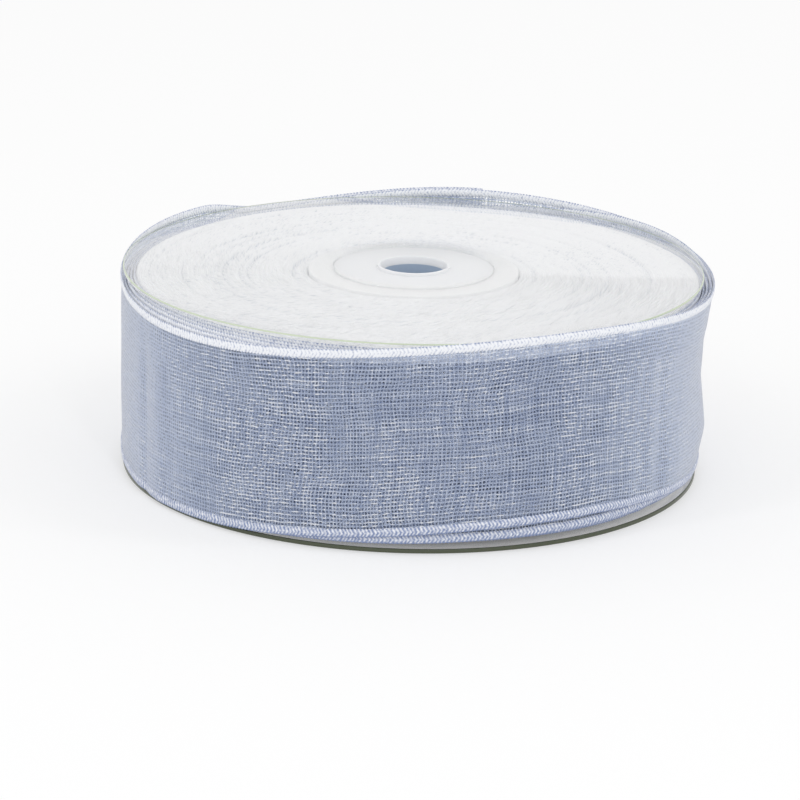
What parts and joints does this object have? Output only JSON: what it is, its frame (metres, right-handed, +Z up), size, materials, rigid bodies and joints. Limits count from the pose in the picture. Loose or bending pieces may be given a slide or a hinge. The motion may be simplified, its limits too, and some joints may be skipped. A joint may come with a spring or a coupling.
{
  "type": "ribbon spool",
  "caption": "Round spool of sheer ribbon: two clear flanges on a tubular core with pressed-in hub plugs, loose outer turns and a free tail that peels off.",
  "frame": {"origin": "centre of the spindle bore at the lower flange's outer face, on which the spool stands", "axes": "+Z up along the spool axis; +X towards the side where the loose outer turns stand furthest from the rim; the front is -Y"},
  "size_m": [0.0819, 0.0822, 0.0297],
  "materials": {
    "clear_flange": "clear moulded styrene, polished faces, pale green edge",
    "core_tube": "white extruded tube",
    "hub_plug": "natural moulded polyethylene, satin",
    "sheer_ribbon": "sheer plain-woven organza, grey blue, with white twisted selvages",
    "starter_tape": "clear adhesive film"
  },
  "bodies": {
    "spool": {"lower_flange": "clear_flange", "upper_flange": "clear_flange", "core": "core_tube", "lower_hub_plug": "hub_plug", "upper_hub_plug": "hub_plug", "starter_tape": "starter_tape", "ribbon_pack": "sheer_ribbon", "loose_turn_4": "sheer_ribbon", "loose_turn_3": "sheer_ribbon", "loose_turn_2": "sheer_ribbon", "loose_turn_1": "sheer_ribbon", "outer_turn": "sheer_ribbon"},
    "tail_1": {"tail_1": "sheer_ribbon"},
    "tail_2": {"tail_2": "sheer_ribbon"},
    "tail_3": {"tail_3": "sheer_ribbon"},
    "tail_4": {"tail_4": "sheer_ribbon"},
    "tail_5": {"tail_5": "sheer_ribbon"},
    "tail_6": {"tail_6": "sheer_ribbon"},
    "tail_7": {"tail_7": "sheer_ribbon"},
    "tail_8": {"tail_8": "sheer_ribbon"}
  },
  "joints": [
    {"name": "tail_hinge_1", "type": "hinge", "parent": "spool", "child": "tail_1", "pos_m": [-0.03867, -0.01109, 0.0141], "axis": [0, 0, 1], "range_deg": [0, 15]},
    {"name": "tail_hinge_2", "type": "hinge", "parent": "tail_1", "child": "tail_2", "pos_m": [-0.04021, -0.0007, 0.0141], "axis": [0, 0, 1], "range_deg": [0, 15]},
    {"name": "tail_hinge_3", "type": "hinge", "parent": "tail_2", "child": "tail_3", "pos_m": [-0.03906, 0.00974, 0.0141], "axis": [0, 0, 1], "range_deg": [0, 15]},
    {"name": "tail_hinge_4", "type": "hinge", "parent": "tail_3", "child": "tail_4", "pos_m": [-0.03529, 0.01956, 0.0141], "axis": [0, 0, 1], "range_deg": [0, 15]},
    {"name": "tail_hinge_5", "type": "hinge", "parent": "tail_4", "child": "tail_5", "pos_m": [-0.02912, 0.02812, 0.0141], "axis": [0, 0, 1], "range_deg": [0, 15]},
    {"name": "tail_hinge_6", "type": "hinge", "parent": "tail_5", "child": "tail_6", "pos_m": [-0.02094, 0.03485, 0.0141], "axis": [0, 0, 1], "range_deg": [0, 20]},
    {"name": "tail_hinge_7", "type": "hinge", "parent": "tail_6", "child": "tail_7", "pos_m": [-0.01126, 0.03927, 0.0141], "axis": [0, 0, 1], "range_deg": [0, 20]},
    {"name": "tail_hinge_8", "type": "hinge", "parent": "tail_7", "child": "tail_8", "pos_m": [-0.00072, 0.04106, 0.0141], "axis": [0, 0, 1], "range_deg": [0, 20]}
  ],
  "couplings": [
    {"joint": "tail_hinge_2", "follows": "tail_hinge_1", "ratio": 1},
    {"joint": "tail_hinge_3", "follows": "tail_hinge_1", "ratio": 1},
    {"joint": "tail_hinge_4", "follows": "tail_hinge_1", "ratio": 1},
    {"joint": "tail_hinge_5", "follows": "tail_hinge_1", "ratio": 1},
    {"joint": "tail_hinge_7", "follows": "tail_hinge_6", "ratio": 1},
    {"joint": "tail_hinge_8", "follows": "tail_hinge_6", "ratio": 1}
  ]
}
